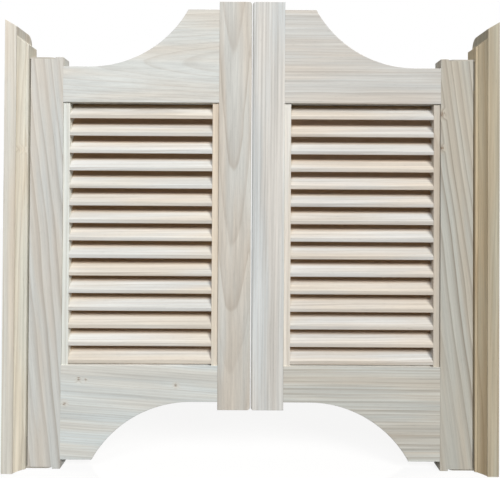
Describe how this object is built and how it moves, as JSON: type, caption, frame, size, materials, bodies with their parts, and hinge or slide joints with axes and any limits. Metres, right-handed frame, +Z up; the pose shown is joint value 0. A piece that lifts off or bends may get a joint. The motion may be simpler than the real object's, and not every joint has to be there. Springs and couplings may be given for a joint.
{
  "type": "cafe swinging doors",
  "caption": "Louvred swinging cafe doors with scooped top and bottom rails, hung on concealed self-closing pivots between moulded side jambs.",
  "frame": {"origin": "bottom centre of the set: between the leaves, at mid-thickness, level with the feet of the jambs and hinge stiles", "axes": "+X across the doorway towards the right-hand jamb seen from the front, +Y from the front to the back, +Z up"},
  "size_m": [0.9496, 0.0636, 0.9125],
  "materials": {
    "frame_wood": "raw sanded, pale grey-white softwood",
    "slat_wood": "raw sanded, pale cream softwood",
    "jamb_wood": "raw planed softwood",
    "moulding_wood": "raw moulded softwood, warmer in tone",
    "dowel_wood": "fluted hardwood",
    "bracket_paint": "stone-coloured powder coat on steel",
    "steel": "zinc plated",
    "pin_steel": "ground",
    "screw_steel": "zinc plated",
    "spring_steel": "oiled",
    "bush_plastic": "nylon"
  },
  "bodies": {
    "jambs": {"left_jamb_board": "jamb_wood", "left_jamb_moulding": "moulding_wood", "left_bottom_bracket": "bracket_paint", "left_top_bracket": "bracket_paint", "right_jamb_board": "jamb_wood", "right_jamb_moulding": "moulding_wood", "right_bottom_bracket": "bracket_paint", "right_top_bracket": "bracket_paint", "jamb_screws": "screw_steel", "pivot_pins": "pin_steel"},
    "left_leaf": {"left_hinge_stile": "frame_wood", "left_meeting_stile": "frame_wood", "left_top_rail": "frame_wood", "left_bottom_rail": "frame_wood", "left_frame_dowels": "dowel_wood", "left_meeting_slat_strip": "slat_wood", "left_hinge_slat_strip": "slat_wood", "left_slat_01": "slat_wood", "left_slat_02": "slat_wood", "left_slat_03": "slat_wood", "left_slat_04": "slat_wood", "left_slat_05": "slat_wood", "left_slat_06": "slat_wood", "left_slat_07": "slat_wood", "left_slat_08": "slat_wood", "left_slat_09": "slat_wood", "left_slat_10": "slat_wood", "left_slat_11": "slat_wood", "left_slat_12": "slat_wood", "left_slat_13": "slat_wood", "left_slat_14": "slat_wood", "left_slat_15": "slat_wood", "left_top_bush": "bush_plastic", "left_spring_barrel": "steel", "left_torsion_spring": "spring_steel"},
    "right_leaf": {"right_hinge_stile": "frame_wood", "right_meeting_stile": "frame_wood", "right_top_rail": "frame_wood", "right_bottom_rail": "frame_wood", "right_frame_dowels": "dowel_wood", "right_meeting_slat_strip": "slat_wood", "right_hinge_slat_strip": "slat_wood", "right_slat_01": "slat_wood", "right_slat_02": "slat_wood", "right_slat_03": "slat_wood", "right_slat_04": "slat_wood", "right_slat_05": "slat_wood", "right_slat_06": "slat_wood", "right_slat_07": "slat_wood", "right_slat_08": "slat_wood", "right_slat_09": "slat_wood", "right_slat_10": "slat_wood", "right_slat_11": "slat_wood", "right_slat_12": "slat_wood", "right_slat_13": "slat_wood", "right_slat_14": "slat_wood", "right_slat_15": "slat_wood", "right_top_bush": "bush_plastic", "right_spring_barrel": "steel", "right_torsion_spring": "spring_steel"}
  },
  "joints": [
    {"name": "left_leaf_swing", "type": "hinge", "parent": "jambs", "child": "left_leaf", "pos_m": [-0.3976, 0, 0], "axis": [0, 0, 1], "range_deg": [-90, 90], "stiffness_Nm_per_rad": 1.5, "deforming": ["left_torsion_spring"]},
    {"name": "right_leaf_swing", "type": "hinge", "parent": "jambs", "child": "right_leaf", "pos_m": [0.3976, 0, 0], "axis": [0, 0, 1], "range_deg": [-90, 90], "stiffness_Nm_per_rad": 1.5, "deforming": ["right_torsion_spring"]}
  ]
}
